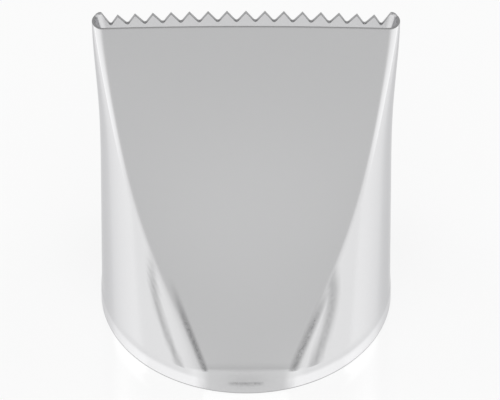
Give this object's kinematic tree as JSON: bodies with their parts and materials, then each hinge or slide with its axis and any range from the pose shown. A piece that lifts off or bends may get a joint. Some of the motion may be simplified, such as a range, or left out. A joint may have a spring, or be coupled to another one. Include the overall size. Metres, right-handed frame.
{
  "type": "piping nozzle",
  "caption": "Wide pressed-steel piping nozzle: round base, flat tapering walls and a slot mouth, smooth along its front edge and saw-toothed along the back, for combed bands of icing.",
  "frame": {"origin": "centre of the round base rim, on the plane that the rim stands on", "axes": "+Z from the base rim up to the mouth, +X along the mouth's width, +Y towards the wall with the teeth"},
  "size_m": [0.0464, 0.0444, 0.0571],
  "materials": {
    "stainless_sheet": "polished, pressed from bright sheet"
  },
  "bodies": {
    "root": {"nozzle_shell": "stainless_sheet"}
  },
  "joints": []
}
